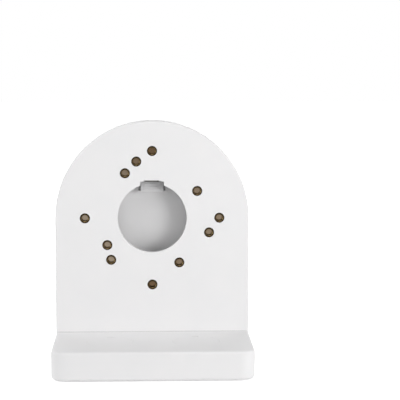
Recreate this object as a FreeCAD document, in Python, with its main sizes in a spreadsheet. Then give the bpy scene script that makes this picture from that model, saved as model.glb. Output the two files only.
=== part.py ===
# Camera wall bracket: an L-shaped hollow moulding, with an arched shelf and a leg for the wall.
# Sizes are in millimetres. The origin is the middle of the wall face. +Z points out of the wall and along
# the shelf, -Y is the side of the shelf with the bolt circles, and +Y is the side that the top cover closes.

import FreeCAD, Part
import os
import Sketcher

Vector = FreeCAD.Vector
TOLERANCE = 0.01

doc = FreeCAD.newDocument("CameraWallBracket")

# Driving dimensions: alias, millimetres (or degrees, or a count)
DIMENSIONS = [
    # The L, outside
    ("width", 115.5),
    ("leg_reach", 74.0),
    ("leg_thickness", 16.9),
    ("shelf_thickness", 15.5),
    ("hole_to_wall", 85.5),
    ("leg_corner", 9.0),
    ("wall_edge", 2.2),
    ("leg_edge", 1.8),
    ("soft_edge", 1.0),
    # Walls of the moulding
    ("shell_wall", 2.8),
    ("front_plate", 3.0),
    ("wall_plate", 2.8),
    ("leg_face", 2.8),
    ("rim_wall", 1.5),
    ("seat_corner", 3.0),
    # Cable hole in the front plate, and the notch at its top
    ("hole_radius", 20.6),
    ("notch_width", 14.0),
    ("notch_top", 21.8),
    ("slit_width", 9.5),
    ("slit_top", 22.45),
    # Ribs inside
    ("rib_thickness", 1.6),
    ("rib_height", 5.0),
    ("spoke_count", 3),
    ("web_gap", 1.5),
    ("web_end", 10.0),
    # Threaded inserts and their bosses
    ("insert_radius", 3.0),
    ("insert_length", 5.0),
    ("insert_bore", 1.7),
    ("thread_depth", 3.0),
    ("insert_recess", 0.2),
    ("insert_fit", 0.02),
    ("bore_relief", 0.5),
    ("boss_radius", 4.3),
    ("boss_floor", 1.5),
    ("outer_pcd", 80.0),
    ("outer_angle", 0.0),
    ("outer_count", 4),
    ("inner_pcd", 62.5),
    ("inner_angle", 31.0),
    ("inner_count", 4),
    ("middle_pcd", 70.0),
    ("middle_angle", 105.5),
    ("middle_count", 3),
    # Wall side: cable entry and screw seats
    ("entry_width", 36.0),
    ("entry_reach", 18.0),
    ("entry_from_top", 5.0),
    ("entry_corner", 4.0),
    ("screw_spacing", 50.0),
    ("screw_from_shelf", 28.7),
    ("screw_radius", 2.75),
    ("seat_radius", 7.0),
    ("seat_height", 1.5),
    # Screw caps in the inner face of the leg
    ("cap_radius", 13.5),
    ("cap_thickness", 1.2),
    ("cap_gap", 0.12),
    ("cap_ledge", 2.0),
    ("finger_setback", 0.5),
    ("finger_width", 5.0),
    ("finger_wall", 1.2),
    ("finger_length", 5.0),
    ("finger_count", 4),
    ("finger_barb", 0.7),
    ("barb_slope", 1.2),
    ("pry_width", 4.0),
    ("pry_reach", 1.0),
    ("pry_depth", 0.6),
    # Top cover
    ("cover_thickness", 2.2),
    ("cover_gap", 0.2),
    ("cover_rib", 1.2),
    ("cover_rib_height", 3.0),
    ("cover_rib_gap", 0.3),
    # Hooks at the wall end of the cover
    ("hook_spacing", 60.0),
    ("hook_width", 10.0),
    ("hook_thickness", 2.0),
    ("hook_land", 1.6),
    ("hook_arm", 2.5),
    ("hook_toe", 2.0),
    ("hook_gap", 0.3),
    # Latch tongue of the cover, and the catch that holds it
    ("tongue_width", 13.4),
    ("tongue_foot", 15.1),
    ("tongue_head", 20.6),
    ("tongue_foot_reach", 6.2),
    ("tongue_head_reach", 3.2),
    ("tongue_wall", 1.4),
    ("tongue_arm", 1.7),
    ("groove_width", 1.3),
    ("groove_depth", 1.4),
    ("ridge_depth", 0.25),
    ("ridge_width", 0.8),
    ("ridge_pitch", 1.4),
    ("ridge_count", 3),
    ("barb_width", 8.0),
    ("barb_top", 22.9),
    ("barb_tip", 0.4),
    ("barb_gap", 0.2),
    ("catch_width", 9.0),
    ("catch_wall", 1.8),
    ("catch_lip", 1.3),
    ("catch_low", 21.5),
    ("catch_high", 23.3),
]

sizes = doc.addObject("Spreadsheet::Sheet", "Sizes")
for row, (alias, value) in enumerate(DIMENSIONS, start=1):
    sizes.set("A%d" % row, alias)
    sizes.set("B%d" % row, str(value))
    sizes.setAlias("B%d" % row, alias)
doc.recompute()


def size(words):
    # Puts the sheet's name before each alias in an expression
    names = {alias for alias, value in DIMENSIONS}
    return " ".join("Sizes." + word if word in names else word for word in words.split())


def number(words):
    return float(sizes.evalExpression(size(words)))


def new_body(name):
    body = doc.addObject("PartDesign::Body", name)
    body.Label = name
    return body


def new_sketch(body, name, plane, up="0", out="0", turn="0"):
    # A sketch on one of the body's own origin planes, raised along its second axis, moved out and turned
    sketch = body.newObject("Sketcher::SketchObject", name)
    support = [feature for feature in body.Origin.OriginFeatures if feature.Role == plane]
    sketch.AttachmentSupport = [(support[0], "")]
    sketch.MapMode = "FlatFace"
    sketch.setExpression("AttachmentOffset.Base.y", size(up))
    sketch.setExpression("AttachmentOffset.Base.z", size(out))
    sketch.setExpression("AttachmentOffset.Rotation.Angle", size("( %s ) * 1 deg" % turn))
    return sketch


def hold(sketch, kind, places, words):
    # A dimension of a sketch that follows the sheet
    index = sketch.addConstraint(Sketcher.Constraint(kind, *places, number(words)))
    sketch.setExpression("Constraints[%d]" % index, size(words))


def pin(sketch, geometry, point, across, up):
    # Holds one point of a sketch at its two distances from the sketch's origin
    if across == "0":
        sketch.addConstraint(Sketcher.Constraint("PointOnObject", geometry, point, -2))
    else:
        hold(sketch, "DistanceX", (-1, 1, geometry, point), across)
    if up == "0":
        sketch.addConstraint(Sketcher.Constraint("PointOnObject", geometry, point, -1))
    else:
        hold(sketch, "DistanceY", (-1, 1, geometry, point), up)


def circle(sketch, radius, across="0", up="0"):
    centre = Vector(number(across), number(up), 0)
    index = sketch.addGeometry(Part.Circle(centre, Vector(0, 0, 1), number(radius)), False)
    pin(sketch, index, 3, across, up)
    hold(sketch, "Radius", (index,), radius)


def join_ends(sketch, kind, first, count):
    # Joins each piece of a closed outline to the next, end to start
    for n in range(count):
        after = (n + 1) % count
        sketch.addConstraint(Sketcher.Constraint(kind, first + n, 2, first + after, 1))


def polygon(sketch, corners):
    points = [Vector(number(across), number(up), 0) for across, up in corners]
    first = sketch.GeometryCount
    count = len(points)
    for n in range(count):
        sketch.addGeometry(Part.LineSegment(points[n], points[(n + 1) % count]), False)
    join_ends(sketch, "Coincident", first, count)
    for n, (across, up) in enumerate(corners):
        pin(sketch, first + n, 1, across, up)


def rectangle(sketch, left, right, low, high):
    polygon(sketch, [(left, low), (right, low), (right, high), (left, high)])


def rounded_rectangle(sketch, left, right, low, high, low_corner, high_corner=None):
    # A rectangle with round corners at its low side, and at its high side too where that has a radius
    x0, x1, y0, y1 = (number(words) for words in (left, right, low, high))
    first = sketch.GeometryCount
    sides = []
    arcs = []
    ends = []
    turns = [
        (x1, y0, 1, -1, low_corner),
        (x1, y1, 1, 1, high_corner),
        (x0, y1, -1, 1, high_corner),
        (x0, y0, -1, -1, low_corner),
    ]
    for n, (x, y, right_hand, upper, corner) in enumerate(turns):
        r = number(corner) if corner else 0
        centre = Vector(x - right_hand * r, y - upper * r, 0)
        level = Vector(centre.x, y, 0)
        upright = Vector(x, centre.y, 0)
        arrive, leave = (level, upright) if n % 2 == 0 else (upright, level)
        diagonal = Vector(right_hand, upper, 0) * (r * 0.5 ** 0.5)
        ends.append((arrive, centre + diagonal, leave, corner))
    for n, (arrive, middle, leave, corner) in enumerate(ends):
        before = ends[n - 1][2]
        sides.append(sketch.addGeometry(Part.LineSegment(before, arrive), False))
        if corner:
            arcs.append((sketch.addGeometry(Part.ArcOfCircle(arrive, middle, leave), False), corner))
    count = sketch.GeometryCount - first
    round_pieces = [index for index, corner in arcs]
    for n in range(count):
        here = first + n
        after = first + (n + 1) % count
        kind = "Tangent" if here in round_pieces or after in round_pieces else "Coincident"
        sketch.addConstraint(Sketcher.Constraint(kind, here, 2, after, 1))
    for index, corner in arcs:
        hold(sketch, "Radius", (index,), corner)
    for n, index in enumerate(sides):
        sketch.addConstraint(Sketcher.Constraint("Horizontal" if n % 2 == 0 else "Vertical", index))
    hold(sketch, "DistanceY", (-1, 1, sides[0], 1), low)
    hold(sketch, "DistanceX", (-1, 1, sides[1], 1), right)
    hold(sketch, "DistanceY", (-1, 1, sides[2], 1), high)
    hold(sketch, "DistanceX", (-1, 1, sides[3], 1), left)


def arch(sketch, radius, foot, corner):
    # A half circle about the sketch's origin on two straight sides, with a straight foot and round corners
    r = number(radius)
    c = number(corner)
    low = -number(foot)
    first = sketch.GeometryCount
    bend = c * (1 - 0.5 ** 0.5)
    right = [Vector(r - c, low, 0), Vector(r - bend, low + bend, 0), Vector(r, low + c, 0)]
    left = [Vector(-r, low + c, 0), Vector(bend - r, low + bend, 0), Vector(c - r, low, 0)]
    pieces = [
        Part.LineSegment(left[2], right[0]),
        Part.ArcOfCircle(*right),
        Part.LineSegment(right[2], Vector(r, 0, 0)),
        Part.ArcOfCircle(Vector(r, 0, 0), Vector(0, r, 0), Vector(-r, 0, 0)),
        Part.LineSegment(Vector(-r, 0, 0), left[0]),
        Part.ArcOfCircle(*left),
    ]
    for piece in pieces:
        sketch.addGeometry(piece, False)
    join_ends(sketch, "Tangent", first, len(pieces))
    sketch.addConstraint(Sketcher.Constraint("Coincident", first + 3, 3, -1, 1))
    sketch.addConstraint(Sketcher.Constraint("PointOnObject", first + 3, 1, -1))
    sketch.addConstraint(Sketcher.Constraint("PointOnObject", first + 3, 2, -1))
    sketch.addConstraint(Sketcher.Constraint("Horizontal", first))
    hold(sketch, "Radius", (first + 3,), radius)
    hold(sketch, "Radius", (first + 1,), corner)
    hold(sketch, "Radius", (first + 5,), corner)
    hold(sketch, "DistanceY", (first, 1, -1, 1), foot)


def feature(body, kind, name, sketch, length, backwards=False, midplane=False):
    # A pad runs along the sketch's normal and a pocket against it, unless it is turned backwards
    made = body.newObject("PartDesign::" + kind, name)
    made.Profile = sketch
    made.Reversed = backwards
    made.Midplane = midplane
    made.setExpression("Length", size(length))
    return made


def polar_pattern(body, name, originals, sketch, count, angle=360):
    pattern = body.newObject("PartDesign::PolarPattern", name)
    pattern.Originals = originals
    pattern.Axis = (sketch, ["N_Axis"])
    pattern.Angle = angle
    pattern.setExpression("Occurrences", size(count))
    body.Tip = pattern


def round_edges(body, name, test, radius):
    # A fillet on each edge of the body so far that passes the test
    doc.recompute()
    base = body.Tip
    picked = ["Edge%d" % n for n, edge in enumerate(base.Shape.Edges, start=1) if test(edge)]
    fillet = body.newObject("PartDesign::Fillet", name)
    fillet.Base = (base, picked)
    fillet.setExpression("Radius", size(radius))
    doc.recompute()


def near(a, b):
    return abs(a - b) < TOLERANCE


def lies_at(edge, axis, level):
    # True if the whole edge lies in the plane where that axis has that value
    box = edge.BoundBox
    low, high = {"x": (box.XMin, box.XMax), "y": (box.YMin, box.YMax), "z": (box.ZMin, box.ZMax)}[axis]
    return near(low, level) and near(high, level)


# Levels along Y and Z that several pieces share
TOP = "leg_reach / 2"
SHELF_FACE = "leg_reach / 2 - shelf_thickness"
PLATE_INSIDE = SHELF_FACE + " + front_plate"
COVER_INSIDE = "leg_reach / 2 - cover_thickness"
SCREW_LEVEL = SHELF_FACE + " - screw_from_shelf"
INSIDE_RADIUS = "width / 2 - shell_wall"
BORE_DEPTH = "insert_recess + insert_length + bore_relief"
HOOK_BACK = COVER_INSIDE + " - hook_land"
TONGUE_HEAD_LEVEL = COVER_INSIDE + " - tongue_head_reach"
TONGUE_BACK_LEVEL = TONGUE_HEAD_LEVEL + " + tongue_wall"
CATCH_LIP_LEVEL = TONGUE_BACK_LEVEL + " + barb_gap"

BOLT_CIRCLES = [
    ("outer", "outer_pcd / 2", "outer_angle", "outer_count"),
    ("inner", "inner_pcd / 2", "inner_angle", "inner_count"),
    ("middle", "middle_pcd / 2", "middle_angle", "middle_count"),
]


def shelf_sketch(body, name, level, turn="0"):
    # A sketch across the shelf at one level of Y, with its origin on the axis of the cable hole
    return new_sketch(body, name, "XZ_Plane", up="hole_to_wall", out="- ( %s )" % level, turn=turn)


def leg_sketch(body, name, level):
    # A sketch across the leg, parallel to the wall
    return new_sketch(body, name, "XY_Plane", out=level)


def side_sketch(body, name, up="0"):
    # A sketch in the bracket's middle plane: across is Y, up is Z
    return new_sketch(body, name, "YZ_Plane", up=up)


# Outside of the L, with its rounded edges
def shape_bracket_outside(body):
    shelf = shelf_sketch(body, "shelf_outline", TOP)
    arch(shelf, "width / 2", "hole_to_wall", "wall_edge")
    feature(body, "Pad", "shelf", shelf, "shelf_thickness")
    leg = leg_sketch(body, "leg_outline", "0")
    rounded_rectangle(leg, "- width / 2", "width / 2", "- leg_reach / 2", "leg_reach / 2", "leg_corner")
    feature(body, "Pad", "leg", leg, "leg_thickness")

    top = number(TOP)
    face = number(SHELF_FACE)
    leg_top = number("leg_thickness")

    def wall_edge(edge):
        return lies_at(edge, "z", 0) and not lies_at(edge, "y", top)

    def leg_edge(edge):
        return lies_at(edge, "z", leg_top) and not lies_at(edge, "y", face)

    def shelf_edge(edge):
        return lies_at(edge, "y", face) and edge.BoundBox.ZMax > leg_top + TOLERANCE

    round_edges(body, "wall_edges", wall_edge, "wall_edge")
    round_edges(body, "leg_edges", leg_edge, "leg_edge")
    round_edges(body, "shelf_edges", shelf_edge, "soft_edge")


# Hollow of the shelf and the leg, open on the side of the top cover, with the cover's seat in its rim
def hollow_bracket(body):
    shelf = shelf_sketch(body, "shelf_hollow_outline", TOP)
    arch(shelf, INSIDE_RADIUS, "hole_to_wall - wall_plate", "seat_corner + rim_wall - shell_wall")
    feature(body, "Pocket", "shelf_hollow", shelf, "shelf_thickness - front_plate", backwards=True)

    leg = leg_sketch(body, "leg_hollow_outline", "leg_thickness - leg_face")
    end = "- leg_reach / 2 + shell_wall"
    inside = "- ( width / 2 - shell_wall )", INSIDE_RADIUS
    rounded_rectangle(leg, *inside, end, COVER_INSIDE, "leg_corner - shell_wall")
    feature(body, "Pocket", "leg_hollow", leg, "leg_thickness - leg_face - wall_plate")

    seat = shelf_sketch(body, "cover_seat_outline", TOP)
    arch(seat, "width / 2 - rim_wall", "hole_to_wall - rim_wall", "seat_corner")
    feature(body, "Pocket", "cover_seat", seat, "cover_thickness", backwards=True)


# Ribs behind the front plate, and two webs that tie the leg's two faces together
def add_ribs(body):
    spines = shelf_sketch(body, "spine_outlines", PLATE_INSIDE)
    for side in ("-", ""):
        middle = side + " outer_pcd / 2"
        rectangle(
            spines,
            middle + " - rib_thickness / 2",
            middle + " + rib_thickness / 2",
            "- hole_to_wall + leg_thickness - leg_face",
            "0",
        )
    feature(body, "Pad", "spines", spines, "rib_height", backwards=True)

    spoke = shelf_sketch(body, "spoke_outline", PLATE_INSIDE)
    half = "rib_thickness / 2"
    rectangle(spoke, "outer_pcd / 2", "width / 2 - shell_wall / 2", "- " + half, half)
    spoke_pad = feature(body, "Pad", "spoke", spoke, "rib_height", backwards=True)
    polar_pattern(body, "spokes", [spoke_pad], spoke, "spoke_count", angle=180)

    webs = leg_sketch(body, "web_outlines", "wall_plate / 2")
    for side in ("-", ""):
        middle = side + " ( screw_spacing / 2 + cap_radius + web_gap )"
        rectangle(
            webs,
            middle + " - rib_thickness / 2",
            middle + " + rib_thickness / 2",
            "- leg_reach / 2 + shell_wall / 2",
            SHELF_FACE + " - web_end",
        )
    feature(body, "Pad", "webs", webs, "leg_thickness - leg_face / 2 - wall_plate / 2")


# Blind bosses behind the front plate with the bores for the threaded inserts, one pattern for each circle
def add_bosses(body):
    for circle_name, radius, angle, count in BOLT_CIRCLES:
        boss = shelf_sketch(body, circle_name + "_boss_outline", PLATE_INSIDE, turn=angle)
        circle(boss, "boss_radius", across=radius)
        boss_length = BORE_DEPTH + " + boss_floor - front_plate"
        boss_pad = feature(body, "Pad", circle_name + "_boss", boss, boss_length, backwards=True)
        bore = shelf_sketch(body, circle_name + "_bore_outline", SHELF_FACE, turn=angle)
        circle(bore, "insert_radius + insert_fit", across=radius)
        bore_pocket = feature(body, "Pocket", circle_name + "_bore", bore, BORE_DEPTH)
        polar_pattern(body, circle_name + "_bosses", [boss_pad, bore_pocket], bore, count)


# Cable hole with its notch, and the catch behind the plate that the barb of the cover's tongue snaps under
def open_cable_hole(body):
    hole = shelf_sketch(body, "cable_hole_outline", SHELF_FACE)
    circle(hole, "hole_radius")
    feature(body, "Pocket", "cable_hole", hole, "front_plate")
    for name in ("notch", "slit"):
        across = name + "_width / 2"
        outline = shelf_sketch(body, name + "_outline", SHELF_FACE)
        rectangle(outline, "- " + across, across, "hole_radius / 2", name + "_top")
        feature(body, "Pocket", name, outline, "front_plate")

    catch = side_sketch(body, "catch_outline", up="hole_to_wall")
    lip = CATCH_LIP_LEVEL
    corners = [
        (PLATE_INSIDE + " - front_plate / 2", "catch_high"),
        (lip, "catch_high"),
        (lip, "catch_low"),
        (lip + " + catch_lip", "catch_low"),
        (lip + " + catch_lip", "catch_high + catch_wall"),
        (PLATE_INSIDE + " - front_plate / 2", "catch_high + catch_wall"),
    ]
    polygon(catch, corners)
    feature(body, "Pad", "catch", catch, "catch_width", midplane=True)


# Wall side of the leg: cable entry, screw seats and the slots that take the cover's hooks
def open_wall_plate(body):
    entry = leg_sketch(body, "entry_outline", "wall_plate")
    high = TOP + " - entry_from_top"
    across = "- entry_width / 2", "entry_width / 2"
    rounded_rectangle(entry, *across, high + " - entry_reach", high, "entry_corner", "entry_corner")
    feature(body, "Pocket", "cable_entry", entry, "wall_plate")

    seats = leg_sketch(body, "screw_seat_outlines", "wall_plate / 2")
    holes = leg_sketch(body, "screw_hole_outlines", "wall_plate + seat_height")
    for across in ("- screw_spacing / 2", "screw_spacing / 2"):
        circle(seats, "seat_radius", across=across, up=SCREW_LEVEL)
        circle(holes, "screw_radius", across=across, up=SCREW_LEVEL)
    feature(body, "Pad", "screw_seats", seats, "wall_plate / 2 + seat_height")
    feature(body, "Pocket", "screw_holes", holes, "wall_plate + seat_height")

    slots = leg_sketch(body, "hook_slot_outlines", "wall_plate")
    for side in ("-", ""):
        middle = side + " hook_spacing / 2"
        rectangle(
            slots,
            middle + " - hook_width / 2 - hook_gap",
            middle + " + hook_width / 2 + hook_gap",
            HOOK_BACK + " - hook_thickness - hook_gap",
            HOOK_BACK + " + cover_gap",
        )
    feature(body, "Pocket", "hook_slots", slots, "wall_plate")


# Round openings over the wall screws, each with the ledge that its cap lies on
def open_cap_seats(body):
    ledges = leg_sketch(body, "cap_ledge_outlines", "leg_thickness")
    wells = leg_sketch(body, "cap_well_outlines", "leg_thickness")
    for across in ("- screw_spacing / 2", "screw_spacing / 2"):
        circle(ledges, "cap_radius + cap_gap", across=across, up=SCREW_LEVEL)
        circle(wells, "cap_radius - cap_ledge", across=across, up=SCREW_LEVEL)
    feature(body, "Pocket", "cap_ledges", ledges, "cap_thickness")
    feature(body, "Pocket", "cap_wells", wells, "leg_face")


def make_bracket_body():
    body = new_body("bracket_body")
    shape_bracket_outside(body)
    hollow_bracket(body)
    add_ribs(body)
    add_bosses(body)
    open_cable_hole(body)
    open_wall_plate(body)
    open_cap_seats(body)
    return body


# Flat lid in the bracket's rim, with two ribs that line it up between the side walls
def shape_cover_plate(body):
    plate = shelf_sketch(body, "plate_outline", TOP)
    foot = "hole_to_wall - rim_wall - cover_gap"
    arch(plate, "width / 2 - rim_wall - cover_gap", foot, "seat_corner - cover_gap")
    feature(body, "Pad", "plate", plate, "cover_thickness")

    ribs = shelf_sketch(body, "rib_outlines", COVER_INSIDE)
    low = "leg_thickness - hole_to_wall"
    outside = "( width / 2 - shell_wall - cover_rib_gap )"
    rectangle(ribs, "- " + outside, "- " + outside + " + cover_rib", low, "0")
    rectangle(ribs, outside + " - cover_rib", outside, low, "0")
    feature(body, "Pad", "ribs", ribs, "cover_rib_height")


# Two hooks that reach through the slots in the wall plate
def add_cover_hooks(body):
    low = "wall_plate + hook_gap"
    toe_front = HOOK_BACK + " - hook_thickness"
    corners = [
        (COVER_INSIDE + " + cover_thickness / 2", low),
        (HOOK_BACK, low),
        (HOOK_BACK, low + " - hook_toe"),
        (toe_front, low + " - hook_toe"),
        (toe_front, low + " + hook_arm"),
        (COVER_INSIDE + " + cover_thickness / 2", low + " + hook_arm"),
    ]
    for name, side in (("left", "-"), ("right", "")):
        sketch = new_sketch(body, name + "_hook_outline", "YZ_Plane", out=side + " hook_spacing / 2")
        polygon(sketch, corners)
        feature(body, "Pad", name + "_hook", sketch, "hook_width", midplane=True)


# Latch tongue: an arm out of the cover that turns up into a leaning finger tab with grip ridges.
# The barb on top of the tab holds the cover, and two grooves beside it let its root bend.
def add_tongue(body):
    root = COVER_INSIDE + " + cover_thickness / 2"
    foot = COVER_INSIDE + " - tongue_foot_reach"
    lean = "( tongue_foot_reach - tongue_head_reach ) / ( tongue_head - tongue_foot )"
    tab = side_sketch(body, "tongue_outline", up="hole_to_wall")
    corners = [
        (foot, "tongue_foot"),
        (TONGUE_HEAD_LEVEL, "tongue_head"),
        (TONGUE_BACK_LEVEL, "tongue_head"),
        (foot + " + tongue_wall + tongue_arm * %s" % lean, "tongue_foot + tongue_arm"),
        (root, "tongue_foot + tongue_arm"),
        (root, "tongue_foot"),
    ]
    polygon(tab, corners)
    feature(body, "Pad", "tongue", tab, "tongue_width", midplane=True)

    barb = side_sketch(body, "barb_outline", up="hole_to_wall")
    corners = [
        (TONGUE_HEAD_LEVEL, "tongue_head"),
        (TONGUE_BACK_LEVEL + " - barb_tip", "barb_top"),
        (TONGUE_BACK_LEVEL, "barb_top"),
        (TONGUE_BACK_LEVEL, "tongue_head"),
        (TONGUE_HEAD_LEVEL + " + tongue_wall / 2", "tongue_head - tongue_wall / 2"),
    ]
    polygon(barb, corners)
    feature(body, "Pad", "barb", barb, "barb_width", midplane=True)

    ridges = side_sketch(body, "ridge_outlines", up="hole_to_wall")
    for n in range(round(number("ridge_count"))):
        rise = "( %d * ridge_pitch + ridge_pitch / 2 )" % n
        level = foot + " + %s * %s" % (rise, lean)
        high_level = foot + " + ( %s + ridge_width ) * %s" % (rise, lean)
        corners = [
            (level, "tongue_foot + " + rise),
            (high_level + " - ridge_depth", "tongue_foot + %s + ridge_width" % rise),
            (high_level + " + ridge_depth", "tongue_foot + %s + ridge_width" % rise),
        ]
        polygon(ridges, corners)
    feature(body, "Pad", "ridges", ridges, "slit_width", midplane=True)

    grooves = shelf_sketch(body, "groove_outlines", COVER_INSIDE)
    beside = "tongue_width / 2"
    beyond = "( tongue_width / 2 + groove_width )"
    rectangle(grooves, "- " + beyond, "- " + beside, "tongue_foot", "barb_top")
    rectangle(grooves, beside, beyond, "tongue_foot", "barb_top")
    feature(body, "Pocket", "grooves", grooves, "groove_depth")


def make_top_cover():
    body = new_body("top_cover")
    shape_cover_plate(body)
    add_cover_hooks(body)
    add_tongue(body)
    return body


# Screw cap, drawn with its outer face at z = 0: a disc on four snap fingers, with a notch to pry it out by
def make_screw_cap(name, side):
    body = new_body(name)
    outline = new_sketch(body, "disc_outline", "XY_Plane", out="- cap_thickness")
    circle(outline, "cap_radius")
    feature(body, "Pad", "disc", outline, "cap_thickness")
    outside = "cap_radius - cap_ledge - finger_setback"
    under_face = "- leg_face - cap_gap"
    foot = "- cap_thickness - finger_length"
    corners = [
        (outside, "- cap_thickness / 2"),
        (outside, under_face),
        (outside + " + finger_barb", under_face),
        (outside, under_face + " - barb_slope"),
        (outside, foot),
        (outside + " - finger_wall", foot),
        (outside + " - finger_wall", "- cap_thickness / 2"),
    ]
    finger = new_sketch(body, "finger_outline", "XZ_Plane")
    polygon(finger, corners)
    finger_pad = feature(body, "Pad", "finger", finger, "finger_width", midplane=True)
    polar_pattern(body, "fingers", [finger_pad], outline, "finger_count")

    pry = new_sketch(body, "pry_notch_outline", "XY_Plane")
    rectangle(pry, "- pry_width / 2", "pry_width / 2", "cap_radius - pry_reach", "cap_radius + pry_reach")
    feature(body, "Pocket", "pry_notch", pry, "pry_depth")
    body.setExpression("Placement.Base.x", size(side + " screw_spacing / 2"))
    body.setExpression("Placement.Base.y", size(SCREW_LEVEL))
    body.setExpression("Placement.Base.z", size("leg_thickness"))
    return body


# Blind brass inserts of one bolt circle, just under the shelf's face
def make_inserts(circle_name, radius, angle, count):
    body = new_body("inserts_%s_circle" % circle_name)
    body.AllowCompound = True
    mouth = SHELF_FACE + " + insert_recess"
    sleeve = shelf_sketch(body, "sleeve_outline", mouth, turn=angle)
    circle(sleeve, "insert_radius", across=radius)
    sleeve_pad = feature(body, "Pad", "sleeve", sleeve, "insert_length", backwards=True)
    bore = shelf_sketch(body, "bore_outline", mouth, turn=angle)
    circle(bore, "insert_bore", across=radius)
    bore_pocket = feature(body, "Pocket", "bore", bore, "thread_depth")
    polar_pattern(body, "sleeves", [sleeve_pad, bore_pocket], sleeve, count)
    return body


parts = [make_bracket_body(), make_top_cover()]
for side_name, side in (("left", "-"), ("right", "")):
    parts.append(make_screw_cap("screw_cap_%s" % side_name, side))
for circle_name, radius, angle, count in BOLT_CIRCLES:
    parts.append(make_inserts(circle_name, radius, angle, count))

doc.recompute()
for item in doc.Objects:
    if "Invalid" in item.State or "Error" in item.State:
        raise RuntimeError("%s did not build: %s" % (item.Name, item.State))
for part in parts:
    if part.Shape.isNull() or not part.Shape.isValid():
        raise RuntimeError("%s has no valid shape" % part.Label)

os.makedirs("parts", exist_ok=True)
for part in parts:
    part.Shape.exportStep("parts/%s.step" % part.Label)
    print("%s: %d solids, %.0f mm3" % (part.Label, len(part.Shape.Solids), part.Shape.Volume))
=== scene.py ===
import math

import bmesh
import bpy
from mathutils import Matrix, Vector


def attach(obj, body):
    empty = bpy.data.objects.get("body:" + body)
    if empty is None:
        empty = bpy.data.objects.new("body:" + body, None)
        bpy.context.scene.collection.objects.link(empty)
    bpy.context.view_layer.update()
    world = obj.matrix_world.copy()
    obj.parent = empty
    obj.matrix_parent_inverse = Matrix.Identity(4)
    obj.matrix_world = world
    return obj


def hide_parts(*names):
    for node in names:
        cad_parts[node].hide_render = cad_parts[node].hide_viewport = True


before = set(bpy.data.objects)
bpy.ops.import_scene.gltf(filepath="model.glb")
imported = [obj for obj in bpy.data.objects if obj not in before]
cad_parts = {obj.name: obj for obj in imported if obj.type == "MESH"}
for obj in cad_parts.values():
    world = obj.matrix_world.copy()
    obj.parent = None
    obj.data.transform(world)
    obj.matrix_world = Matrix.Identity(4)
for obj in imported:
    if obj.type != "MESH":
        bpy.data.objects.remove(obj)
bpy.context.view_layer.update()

mm = 0.001               # the settings are in mm, the scene is in metres


# a hex colour as the linear values that a shader takes, by the standard sRGB curve
def toLinear(hexColour):
    channels = [int(hexColour[i:i + 2], 16) / 255 for i in (1, 3, 5)]
    return tuple(c / 12.92 if c <= 0.04045 else ((c + 0.055) / 1.055) ** 2.4 for c in channels) + (1.0,)


# adds one node; settings are its properties, links are values or other nodes' outputs by input
def addNode(tree, kind, settings=None, links=None):
    node = tree.nodes.new(kind)
    for name, value in (settings or {}).items():
        setattr(node, name, value)
    for socket, source in (links or {}).items():
        target = node.inputs[socket]
        if isinstance(source, bpy.types.NodeSocket):
            tree.links.new(source, target)
        else:
            target.default_value = source
    return node


# the node tree of a material or a world, emptied
def emptyTree(owner):
    owner.use_nodes = True
    owner.node_tree.nodes.clear()
    return owner.node_tree


def addObject(name, data):
    item = bpy.data.objects.new(name, data)
    bpy.context.scene.collection.objects.link(item)
    return item


print("camera")
cameraSettings = {
    "place": (-4.62, -828.5, 187.46),      # mm
    "down": 0.1069,                        # radians below level
    "right": 0.0389,                       # radians to the right of straight on
    "lens": 129.4, "sensor": 36,           # mm
    "clip": 20,                            # metres to where the view ends
}
cameraData = bpy.data.cameras.new("productCamera")
cameraData.lens = cameraSettings["lens"]
cameraData.sensor_width = cameraSettings["sensor"]
cameraData.clip_end = cameraSettings["clip"]
camera = addObject("productCamera", cameraData)
camera.location = Vector(cameraSettings["place"]) * mm
camera.rotation_euler = (math.pi / 2 - cameraSettings["down"], 0, -cameraSettings["right"])
bpy.context.scene.camera = camera
bpy.context.scene.view_settings.view_transform = "Standard"


print("plastics")


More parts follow.
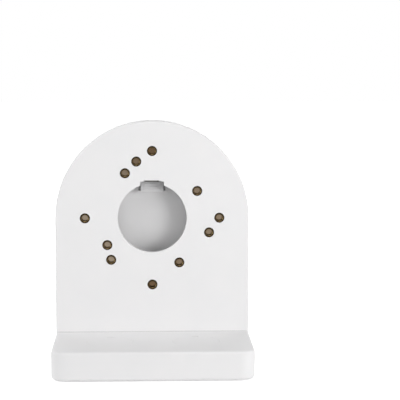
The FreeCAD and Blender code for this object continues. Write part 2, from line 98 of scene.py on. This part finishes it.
# satin ABS from a spark-eroded mould: an even white with a faint cloudiness from the pigment,
# a fine grain that spreads the shine, and painted shade in the seams and on a latch in its pocket
def mouldedPlastic(name, look):
    material = bpy.data.materials.new(name)
    tree = emptyTree(material)
    place = addNode(tree, "ShaderNodeTexCoord").outputs["Object"]
    cloud = addNode(tree, "ShaderNodeTexNoise", links={
        "Vector": place, "Scale": 1 / (look["cloud"] * mm), "Detail": look["cloudDetail"]}).outputs["Fac"]
    clean = addNode(tree, "ShaderNodeMix", {"data_type": "RGBA"}, {
        "Factor": cloud, "A": toLinear(look["dark"]), "B": toLinear(look["light"])}).outputs["Result"]
    # painted shade: the white darkens towards the shade colour where walls stand near, by ambient occlusion
    unhidden = addNode(tree, "ShaderNodeAmbientOcclusion", {
        "samples": look["creviceSamples"], "only_local": True}, {"Distance": look["crevice"] * mm}).outputs["AO"]
    openness = addNode(tree, "ShaderNodeMapRange", {"interpolation_type": "SMOOTHSTEP"}, {
        "Value": unhidden, "From Max": look["creviceOpen"]}).outputs["Result"]
    spot = addNode(tree, "ShaderNodeSeparateXYZ", links={0: place}).outputs
    # painted shade of the latch's pocket: a band above a height and in front of a depth
    foot, back, edge = look["pocketFoot"], look["pocketBack"], look["pocketEdge"]
    bands = []
    for axis, low, high, before, after in (
            ("Z", foot, foot + edge, 0.0, 1 - look["pocketPaintedLight"]), ("Y", back - edge, back, 1.0, 0.0)):
        bands.append(addNode(tree, "ShaderNodeMapRange", {"interpolation_type": "SMOOTHSTEP"}, {
            "Value": spot[axis], "From Min": low * mm, "From Max": high * mm,
            "To Min": before, "To Max": after}).outputs["Result"])
    unlit = addNode(tree, "ShaderNodeMath", {"operation": "MULTIPLY"}, {0: bands[0], 1: bands[1]}).outputs[0]
    bright = addNode(tree, "ShaderNodeMath", {"operation": "SUBTRACT", "use_clamp": True}, {
        0: openness, 1: unlit}).outputs[0]
    # the clean white, mixed towards the painted shade colour in the seams and in the latch's pocket
    colour = addNode(tree, "ShaderNodeMix", {"data_type": "RGBA"}, {
        "Factor": bright, "A": toLinear(look["paintedShade"]), "B": clean}).outputs["Result"]
    grain = addNode(tree, "ShaderNodeTexNoise", links={
        "Vector": place, "Scale": 1 / (look["grain"] * mm),
        "Detail": look["grainDetail"], "Roughness": look["grainFine"]}).outputs["Fac"]
    shine = addNode(tree, "ShaderNodeMapRange", links={
        "Value": grain, "To Min": look["rough"][0], "To Max": look["rough"][1]}).outputs["Result"]
    bump = addNode(tree, "ShaderNodeBump", links={
        "Height": grain, "Strength": look["bump"], "Distance": look["depth"] * mm}).outputs["Normal"]
    shader = addNode(tree, "ShaderNodeBsdfPrincipled", links={
        "Base Color": colour, "Roughness": shine, "Normal": bump,
        "IOR": look["ior"], "Specular IOR Level": look["specular"]}).outputs["BSDF"]
    addNode(tree, "ShaderNodeOutputMaterial", links={"Surface": shader})
    return material


shellLook = {
    "light": "#ecebeb", "dark": "#e8e8e9",
    "cloud": 18.0,             # mm, slow drift of the white pigment
    "cloudDetail": 2.0,
    "paintedShade": "#86827d",        # the colour of the painted shade deep in a seam and on the latch in its pocket
    "crevice": 1.0,            # mm, how near two walls are where the painted shade falls
    "creviceOpen": 0.9,        # share of open space from which a spot gets no painted shade
    "creviceSamples": 12,
    # mm, above this height and in front of this depth the latch is painted in shade, for the dark pocket it stands
    # in
    "pocketFoot": 0.0, "pocketBack": 34.5,
    "pocketEdge": 0.3,         # mm from light to dark
    "pocketPaintedLight": 1.0,        # share of the clean colour kept on the latch under the painted shade, 1 where there is none
    "grain": 0.9,              # mm, the real grain is about 0.1 mm and is drawn coarser so that it shows
    "grainDetail": 3.0, "grainFine": 0.6,
    "rough": (0.7, 0.82),      # from the hollows of the grain to its tops
    "bump": 0.25,
    "depth": 0.02,             # mm, depth of the grain
    "ior": 1.53, "specular": 0.2,
}
coverLook = {**shellLook, "pocketFoot": 106.0, "pocketPaintedLight": 0.15}    # the cover's latch behind a slit is painted in shade
shellPlastic = mouldedPlastic("whiteMouldedABS", shellLook)
coverPlastic = mouldedPlastic("whiteCoverABS", coverLook)


# smooth over the curves, with a crease where two faces meet at more than the sharp angle in degrees
def setCreases(work, sharp):
    for face in work.faces:
        face.smooth = True
    for edge in work.edges:
        edge.smooth = edge.is_manifold and edge.calc_face_angle(0) < math.radians(sharp)


# the mesh that an object's modifiers make, after which they are removed
def bakedMesh(item):
    bpy.context.view_layer.update()
    mesh = bpy.data.meshes.new_from_object(item.evaluated_get(bpy.context.evaluated_depsgraph_get()))
    item.modifiers.clear()
    return mesh


# a merged copy of a CAD node's loose triangles, in a new material
def dressedCopy(nodeName, pieceName, material, settings):
    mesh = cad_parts[nodeName].data.copy()
    mesh.materials.clear()
    mesh.materials.append(material)
    if "custom_normal" in mesh.attributes:
        mesh.attributes.remove(mesh.attributes["custom_normal"])
    work = bmesh.new()
    work.from_mesh(mesh)
    bmesh.ops.remove_doubles(work, verts=work.verts, dist=settings["weld"] * mm)
    for face in work.faces:
        face.material_index = 0
    setCreases(work, settings["sharp"])
    work.to_mesh(mesh)
    work.free()
    piece = addObject(pieceName, mesh)
    # the flats keep their own normals, so that only the rounded edges shade as round
    weighted = piece.modifiers.new("weightedNormals", "WEIGHTED_NORMAL")
    weighted.mode = "FACE_AREA"
    weighted.weight = settings["flatWeight"]
    weighted.keep_sharp = True
    piece.data = bakedMesh(piece)
    bpy.data.meshes.remove(mesh)
    piece.data.name = pieceName
    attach(piece, "root")
    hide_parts(nodeName)


print("shell, cover and caps")
copySettings = {
    "weld": 0.002,             # mm, corners nearer than this are one
    "sharp": 28,               # degrees
    "flatWeight": 100,         # how far large faces lead the shading, 50 is evenly
}
dressedCopy("bracket_body", "bracketShell", shellPlastic, copySettings)
dressedCopy("top_cover", "topCover", coverPlastic, copySettings)
dressedCopy("screw_cap_left", "screwCapLeft", shellPlastic, copySettings)
dressedCopy("screw_cap_right", "screwCapRight", shellPlastic, copySettings)


print("brass inserts")
insertSettings = {             # the inputs of the Geometry Nodes tree, lengths in mm
    "Height": 85.5,            # from the foot up to the middle of the bolt circles
    "Face": 21.7,              # depth of the front face
    "Outer Radius": 3.0, "Length": 5.0, "Chamfer": 0.2,
    "Knurl Depth": 0.15, "Knurl Teeth": 24,
    "Lead Radius": 2.35,       # rim of the lead-in
    "Lead Slope": 0.8,         # depth of the lead-in for each mm of its width
    "Bore Radius": 1.85, "Thread Radius": 2.0, "Thread Pitch": 0.7,
    "Thread Depth": 3.0,       # the bore is blind
    "Thread Rings": 16,        # rings of faces down the thread
    "Sides": 48,
    "Weld": 0.002,             # corners nearer than this are one
}
insertSharp = 35               # degrees
insertCircles = {              # mm, and degrees anticlockwise from the right
    "outer": {"Circle Radius": 40.0, "Start Angle": 0.0, "Count": 4, "Seed": 3},
    "inner": {"Circle Radius": 31.25, "Start Angle": 31.0, "Count": 4, "Seed": 8},
    "middle": {"Circle Radius": 35.0, "Start Angle": 105.5, "Count": 3, "Seed": 5},
}
brassLook = {
    # painted: the end face dark as a reflection of dark surroundings, the thread darker as shade in the bore
    "endFace": "#362b20", "leadIn": "#58492f", "thread": "#453625",
    "floorMiddle": "#66533f", "floorLeft": "#8a7d6d", "floorRight": "#80715f",
    "spread": 27.0,            # mm from the middle line to where the floors are palest, as painted light on the sides
    "leadInDepth": (0.02, 0.1),    # mm below the end face, where the tone starts and where it is full
    "threadDepth": (0.4, 0.9),     # mm, the same
    "floorRise": (0.4, 0.1),       # mm above the bore's floor, the same
    "stain": 0.9,              # mm, size of the tarnish spots
    "stainDetail": 3.0,
    "blotch": 0.3,             # how much the spots darken the brass
    "rough": (0.12, 0.24),     # from spot to spot
}


# brass turned on a lathe and pressed in hot, painted dark as a reflection of dark surroundings: a dark end face,
# a lighter lead-in, a thread dimmer as painted shade down the bore, and a paler floor, with spots of tarnish
def paintedDarkBrass(name, look):
    material = bpy.data.materials.new(name)
    tree = emptyTree(material)
    place = addNode(tree, "ShaderNodeTexCoord").outputs["Object"]
    spot = addNode(tree, "ShaderNodeSeparateXYZ", links={0: place}).outputs
    stain = addNode(tree, "ShaderNodeTexNoise", links={
        "Vector": place, "Scale": 1 / (look["stain"] * mm), "Detail": look["stainDetail"]}).outputs["Fac"]
    face = insertSettings["Face"]
    floor = face + insertSettings["Thread Depth"]
    lead, thread, rise = look["leadInDepth"], look["threadDepth"], look["floorRise"]
    tones = {}
    for part, base, layers in (    # a layer is an axis, where it starts and is full in mm, and its tone
            ("floor", "floorMiddle", [("X", 0.0, -look["spread"], "floorLeft"),
                                      ("X", 0.0, look["spread"], "floorRight")]),
            ("whole", "endFace", [("Y", face + lead[0], face + lead[1], "leadIn"),
                                  ("Y", face + thread[0], face + thread[1], "thread"),
                                  ("Y", floor - rise[0], floor - rise[1], "floor")])):
        tones[part] = toLinear(look[base])
        for axis, low, high, tone in layers:
            share = addNode(tree, "ShaderNodeMapRange", {"interpolation_type": "SMOOTHSTEP"}, {
                "Value": spot[axis], "From Min": low * mm, "From Max": high * mm}).outputs["Result"]
            tones[part] = addNode(tree, "ShaderNodeMix", {"data_type": "RGBA"}, {
                "Factor": share, "A": tones[part],
                "B": tones[tone] if tone in tones else toLinear(look[tone])}).outputs["Result"]
    colour = addNode(tree, "ShaderNodeMix", {"data_type": "RGBA", "blend_type": "MULTIPLY"}, {
        "Factor": look["blotch"], "A": tones["whole"], "B": stain}).outputs["Result"]
    shine = addNode(tree, "ShaderNodeMapRange", links={
        "Value": stain, "To Min": look["rough"][0], "To Max": look["rough"][1]}).outputs["Result"]
    shader = addNode(tree, "ShaderNodeBsdfPrincipled", links={
        "Base Color": colour, "Roughness": shine, "Metallic": 1.0}).outputs["BSDF"]
    addNode(tree, "ShaderNodeOutputMaterial", links={"Surface": shader})
    return material


insertBrass = paintedDarkBrass("turnedBrassPaintedDark", brassLook)


# a Geometry Nodes tree with inputs by kind and one output
def namedTree(name, inputs):
    tree = bpy.data.node_groups.new(name, "GeometryNodeTree")
    for kind, names in inputs.items():
        for inputName in names:
            tree.interface.new_socket(inputName, in_out="INPUT", socket_type="NodeSocket" + kind)
    tree.interface.new_socket("Geometry", in_out="OUTPUT", socket_type="NodeSocketGeometry")
    return tree


stripTip = 0.001               # share of a strip at each end that keeps its plain radius


# a strip of grid turned round the Y axis from one radius and depth to another
def revolvedStripGroup():
    tree = namedTree("revolvedStrip", {
        "Float": ["Start Radius", "Start Depth", "End Radius", "End Depth", "Knurl Depth", "Thread Height", "Pitch"],
        "Int": ["Sides", "Rings", "Teeth"]})
    given = addNode(tree, "NodeGroupInput").outputs
    spot = addNode(tree, "ShaderNodeSeparateXYZ", links={
        0: addNode(tree, "GeometryNodeInputPosition").outputs[0]}).outputs
    values = {socket.name: socket for socket in given if socket.name}
    values.update({"gridX": spot["X"], "gridY": spot["Y"]})
    sums = [   # name, operation and two values, which are numbers, inputs or earlier names
        ("columns", "ADD", "Sides", 1), ("rows", "ADD", "Rings", 1),
        # the grid reaches 0.5 to each side of its middle
        ("around", "ADD", "gridX", 0.5), ("along", "ADD", "gridY", 0.5),
        ("depthSpan", "SUBTRACT", "End Depth", "Start Depth"), ("deeper", "MULTIPLY", "along", "depthSpan"),
        ("depth", "ADD", "Start Depth", "deeper"),
        ("radiusSpan", "SUBTRACT", "End Radius", "Start Radius"), ("wider", "MULTIPLY", "along", "radiusSpan"),
        ("plain", "ADD", "Start Radius", "wider"),
        # the knurl's straight teeth are cut inwards
        ("teethPassed", "MULTIPLY", "around", "Teeth"), ("tooth", "PINGPONG", "teethPassed", 0.5),
        ("twiceTooth", "MULTIPLY", "tooth", 2.0), ("knurled", "MULTIPLY", "twiceTooth", "Knurl Depth"),
        # the thread's groove climbs one pitch in a turn and is cut outwards
        ("climb", "DIVIDE", "depth", "Pitch"), ("turn", "ADD", "climb", "around"),
        ("groove", "PINGPONG", "turn", 0.5), ("twiceGroove", "MULTIPLY", "groove", 2.0),
        ("thread", "MULTIPLY", "twiceGroove", "Thread Height"),
        # both stop at the strip's ends, so that neighbouring strips meet
        ("started", "GREATER_THAN", "along", stripTip), ("goingOn", "LESS_THAN", "along", 1 - stripTip),
        ("inside", "MULTIPLY", "started", "goingOn"), ("wave", "SUBTRACT", "thread", "knurled"),
        ("waveInside", "MULTIPLY", "inside", "wave"), ("radius", "ADD", "plain", "waveInside"),
        ("angle", "MULTIPLY", "around", math.tau), ("cosine", "COSINE", "angle", 0.0),
        ("sine", "SINE", "angle", 0.0),
        ("outX", "MULTIPLY", "radius", "cosine"), ("outZ", "MULTIPLY", "radius", "sine"),
    ]
    for name, operation, first, second in sums:
        values[name] = addNode(tree, "ShaderNodeMath", {"operation": operation}, {
            0: values.get(first, first), 1: values.get(second, second)}).outputs[0]
    grid = addNode(tree, "GeometryNodeMeshGrid", links={
        "Size X": 1.0, "Size Y": 1.0, "Vertices X": values["columns"], "Vertices Y": values["rows"]}).outputs["Mesh"]
    point = addNode(tree, "ShaderNodeCombineXYZ", links={
        "X": values["outX"], "Y": values["depth"], "Z": values["outZ"]}).outputs[0]
    moved = addNode(tree, "GeometryNodeSetPosition", links={"Geometry": grid, "Position": point}).outputs[0]
    addNode(tree, "NodeGroupOutput", links={"Geometry": moved})
    return tree


# one knurled blind insert, repeated round its bolt circle
def boltCircleTree():
    strip = revolvedStripGroup()
    sizes = {**insertSettings, **insertCircles["outer"]}
    tree = namedTree("boltCircleInserts", {
        "Geometry": ["Geometry"],
        "Float": [name for name, size in sizes.items() if isinstance(size, float)],
        "Int": [name for name, size in sizes.items() if isinstance(size, int)],
        "Material": ["Metal"]})
    given = addNode(tree, "NodeGroupInput").outputs
    values = {socket.name: socket for socket in given if socket.name}
    sums = [   # as in the strip's tree
        ("rim", "SUBTRACT", "Outer Radius", "Chamfer"), ("backRim", "SUBTRACT", "Length", "Chamfer"),
        ("leadWidth", "SUBTRACT", "Lead Radius", "Bore Radius"),
        ("leadDepth", "MULTIPLY", "leadWidth", "Lead Slope"),
        ("threadHeight", "SUBTRACT", "Thread Radius", "Bore Radius"),
        ("startTurn", "MULTIPLY", "Start Angle", -math.pi / 180),
    ]
    for name, operation, first, second in sums:
        values[name] = addNode(tree, "ShaderNodeMath", {"operation": operation}, {
            0: values.get(first, first), 1: values.get(second, second)}).outputs[0]
    plain = (1, 0, 0.0, 0.0)       # one ring, no teeth, no knurl and no thread
    stripInputs = ("Start Radius", "Start Depth", "End Radius", "End Depth",
                   "Rings", "Teeth", "Knurl Depth", "Thread Height")
    strips = [     # the values of those inputs, from the back of the insert round to the floor of its bore
        (0.0, "Length", "rim", "Length", *plain),
        ("rim", "Length", "Outer Radius", "backRim", *plain),
        ("Outer Radius", "backRim", "Outer Radius", "Chamfer", 3, "Knurl Teeth", "Knurl Depth", 0.0),
        ("Outer Radius", "Chamfer", "rim", 0.0, *plain),
        ("rim", 0.0, "Lead Radius", 0.0, *plain),
        ("Lead Radius", 0.0, "Bore Radius", "leadDepth", *plain),
        ("Bore Radius", "leadDepth", "Bore Radius", "Thread Depth", "Thread Rings", 0, 0.0, "threadHeight"),
        ("Bore Radius", "Thread Depth", 0.0, "Thread Depth", 2, 0, 0.0, 0.0),
    ]
    joined = addNode(tree, "GeometryNodeJoinGeometry")
    for row in strips:
        made = addNode(tree, "GeometryNodeGroup", {"node_tree": strip}, {
            "Sides": given["Sides"], "Pitch": given["Thread Pitch"],
            **{name: values.get(item, item) for name, item in zip(stripInputs, row)}}).outputs[0]
        tree.links.new(made, joined.inputs[0])
    welded = addNode(tree, "GeometryNodeMergeByDistance", links={
        "Geometry": joined.outputs[0], "Distance": given["Weld"]}).outputs[0]
    circle = addNode(tree, "GeometryNodeMeshCircle", links={
        "Vertices": given["Count"], "Radius": given["Circle Radius"]}).outputs["Mesh"]
    upright = addNode(tree, "ShaderNodeCombineXYZ", links={
        "X": math.pi / 2, "Y": values["startTurn"]}).outputs[0]
    middle = addNode(tree, "ShaderNodeCombineXYZ", links={"Y": given["Face"], "Z": given["Height"]}).outputs[0]
    turned = addNode(tree, "GeometryNodeTransform", links={
        "Geometry": circle, "Rotation": upright, "Translation": middle}).outputs[0]
    spin = addNode(tree, "FunctionNodeRandomValue", {"data_type": "FLOAT"}, {
        "Min": 0.0, "Max": math.tau, "Seed": given["Seed"]}).outputs["Value"]
    spun = addNode(tree, "ShaderNodeCombineXYZ", links={"Y": spin}).outputs[0]
    placed = addNode(tree, "GeometryNodeInstanceOnPoints", links={
        "Points": turned, "Instance": welded, "Rotation": spun}).outputs[0]
    real = addNode(tree, "GeometryNodeRealizeInstances", links={"Geometry": placed}).outputs[0]
    metres = addNode(tree, "GeometryNodeTransform", links={"Geometry": real, "Scale": (mm, mm, mm)}).outputs[0]
    painted = addNode(tree, "GeometryNodeSetMaterial", links={
        "Geometry": metres, "Material": given["Metal"]}).outputs[0]
    addNode(tree, "NodeGroupOutput", links={"Geometry": painted})
    return tree


# the plain mesh that a Geometry Nodes tree makes from its inputs, as a new object
def bakeGeometry(name, tree, inputs, sharp):
    holder = addObject(name + "Holder", bpy.data.meshes.new(name + "Holder"))
    modifier = holder.modifiers.new("geometry", "NODES")
    modifier.node_group = tree
    for item in tree.interface.items_tree:
        if item.in_out == "INPUT" and item.name in inputs:
            modifier[item.identifier] = inputs[item.name]
    mesh = bakedMesh(holder)
    bpy.data.objects.remove(holder)
    mesh.name = name
    work = bmesh.new()
    work.from_mesh(mesh)
    bmesh.ops.recalc_face_normals(work, faces=work.faces)
    setCreases(work, sharp)
    work.to_mesh(mesh)
    work.free()
    return addObject(name, mesh)


insertTree = boltCircleTree()
for circleName, circle in insertCircles.items():
    inputs = {**insertSettings, **circle, "Metal": insertBrass}
    piece = bakeGeometry(circleName + "Inserts", insertTree, inputs, insertSharp)
    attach(piece, "root")
    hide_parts("inserts_" + circleName + "_circle")


print("floor, world and lamps")
stageSettings = {
    "floor": "#f2f2f2", "sky": "#ffffff",
    "floorSize": 8.0,                      # metres
    "floorDrop": 0.8,                      # mm below the foot, so that light gets under its edge
    "nearGlow": 0.8, "farGlow": 1.0,       # white paper as the camera sees it, 1 is white
    "nearReach": 0.2, "farReach": 1.4,     # metres from the bracket
    "ambient": 0.16,                       # strength at which the white surroundings light the bracket
}


# 1 for what the camera sees, itself, mirrored or through something clear, and 0 for what lights the bracket
def seenDirectly(tree):
    rays = addNode(tree, "ShaderNodeLightPath").outputs
    mirrored = addNode(tree, "ShaderNodeMath", {"operation": "MAXIMUM"}, {
        0: rays["Is Glossy Ray"], 1: rays["Is Transmission Ray"]}).outputs[0]
    return addNode(tree, "ShaderNodeMath", {"operation": "MAXIMUM"}, {
        0: rays["Is Camera Ray"], 1: mirrored}).outputs[0]


# matt white paper, which keeps the bracket's shadow and is seen a little brighter away from it
paper = bpy.data.materials.new("whiteStudioPaper")
tree = emptyTree(paper)
reach = addNode(tree, "ShaderNodeVectorMath", {"operation": "LENGTH"}, {
    0: addNode(tree, "ShaderNodeTexCoord").outputs["Object"]}).outputs["Value"]
paperGlow = addNode(tree, "ShaderNodeMapRange", {"interpolation_type": "SMOOTHSTEP"}, {
    "Value": reach, "From Min": stageSettings["nearReach"], "From Max": stageSettings["farReach"],
    "To Min": stageSettings["nearGlow"], "To Max": stageSettings["farGlow"]}).outputs["Result"]
strength = addNode(tree, "ShaderNodeMath", {"operation": "MULTIPLY"}, {
    0: seenDirectly(tree), 1: paperGlow}).outputs[0]
glow = addNode(tree, "ShaderNodeEmission", links={"Strength": strength}).outputs[0]
matte = addNode(tree, "ShaderNodeBsdfDiffuse", links={"Color": toLinear(stageSettings["floor"])}).outputs[0]
both = addNode(tree, "ShaderNodeAddShader", links={0: glow, 1: matte}).outputs[0]
addNode(tree, "ShaderNodeOutputMaterial", links={"Surface": both})

floorMesh = bpy.data.meshes.new("studioFloor")
half = stageSettings["floorSize"] / 2
corners = [(-half, -half, 0), (half, -half, 0), (half, half, 0), (-half, half, 0)]
floorMesh.from_pydata(corners, [], [(0, 1, 2, 3)])
floorMesh.materials.append(paper)
floor = addObject("studioFloor", floorMesh)
floor.location.z = stageSettings["floorDrop"] * -mm

world = bpy.data.worlds.new("studioWorld")
bpy.context.scene.world = world
tree = emptyTree(world)
level = addNode(tree, "ShaderNodeMapRange", links={
    "Value": seenDirectly(tree), "To Min": stageSettings["ambient"], "To Max": 1.0}).outputs["Result"]
sky = addNode(tree, "ShaderNodeBackground", links={
    "Color": toLinear(stageSettings["sky"]), "Strength": level}).outputs[0]
addNode(tree, "ShaderNodeOutputWorld", links={"Surface": sky})

lampSettings = {   # place and aim in mm, size in mm, power in watts
    "keySoftbox": {"place": (770, -600, 190), "aim": (0, 25, 80), "size": (620, 380), "power": 5.95},
    "topSoftbox": {"place": (-190, -190, 870), "aim": (0, 0, 60), "size": (1100, 700), "power": 2.5},
    "leftSoftbox": {"place": (-880, -440, 210), "aim": (0, 20, 70), "size": (560, 560), "power": 3.35},
    "sideSoftbox": {"place": (-1000, -20, 220), "aim": (0, 20, 80), "size": (500, 500), "power": 1.8},
    "topStrip": {"place": (0, -160, 900), "aim": (0, 0, 60), "size": (260, 500), "power": 0.85},
    "backSoftbox": {"place": (0, 1000, 330), "aim": (0, 37, 70), "size": (900, 600), "power": 5.3},
}
for lampName, lamp in lampSettings.items():
    light = bpy.data.lights.new(lampName, "AREA")
    light.shape = "RECTANGLE"
    light.size, light.size_y = lamp["size"][0] * mm, lamp["size"][1] * mm
    light.energy = lamp["power"]
    holder = addObject(lampName, light)
    holder.location = Vector(lamp["place"]) * mm
    holder.rotation_euler = (Vector(lamp["aim"]) - Vector(lamp["place"])).to_track_quat("-Z", "Y").to_euler()
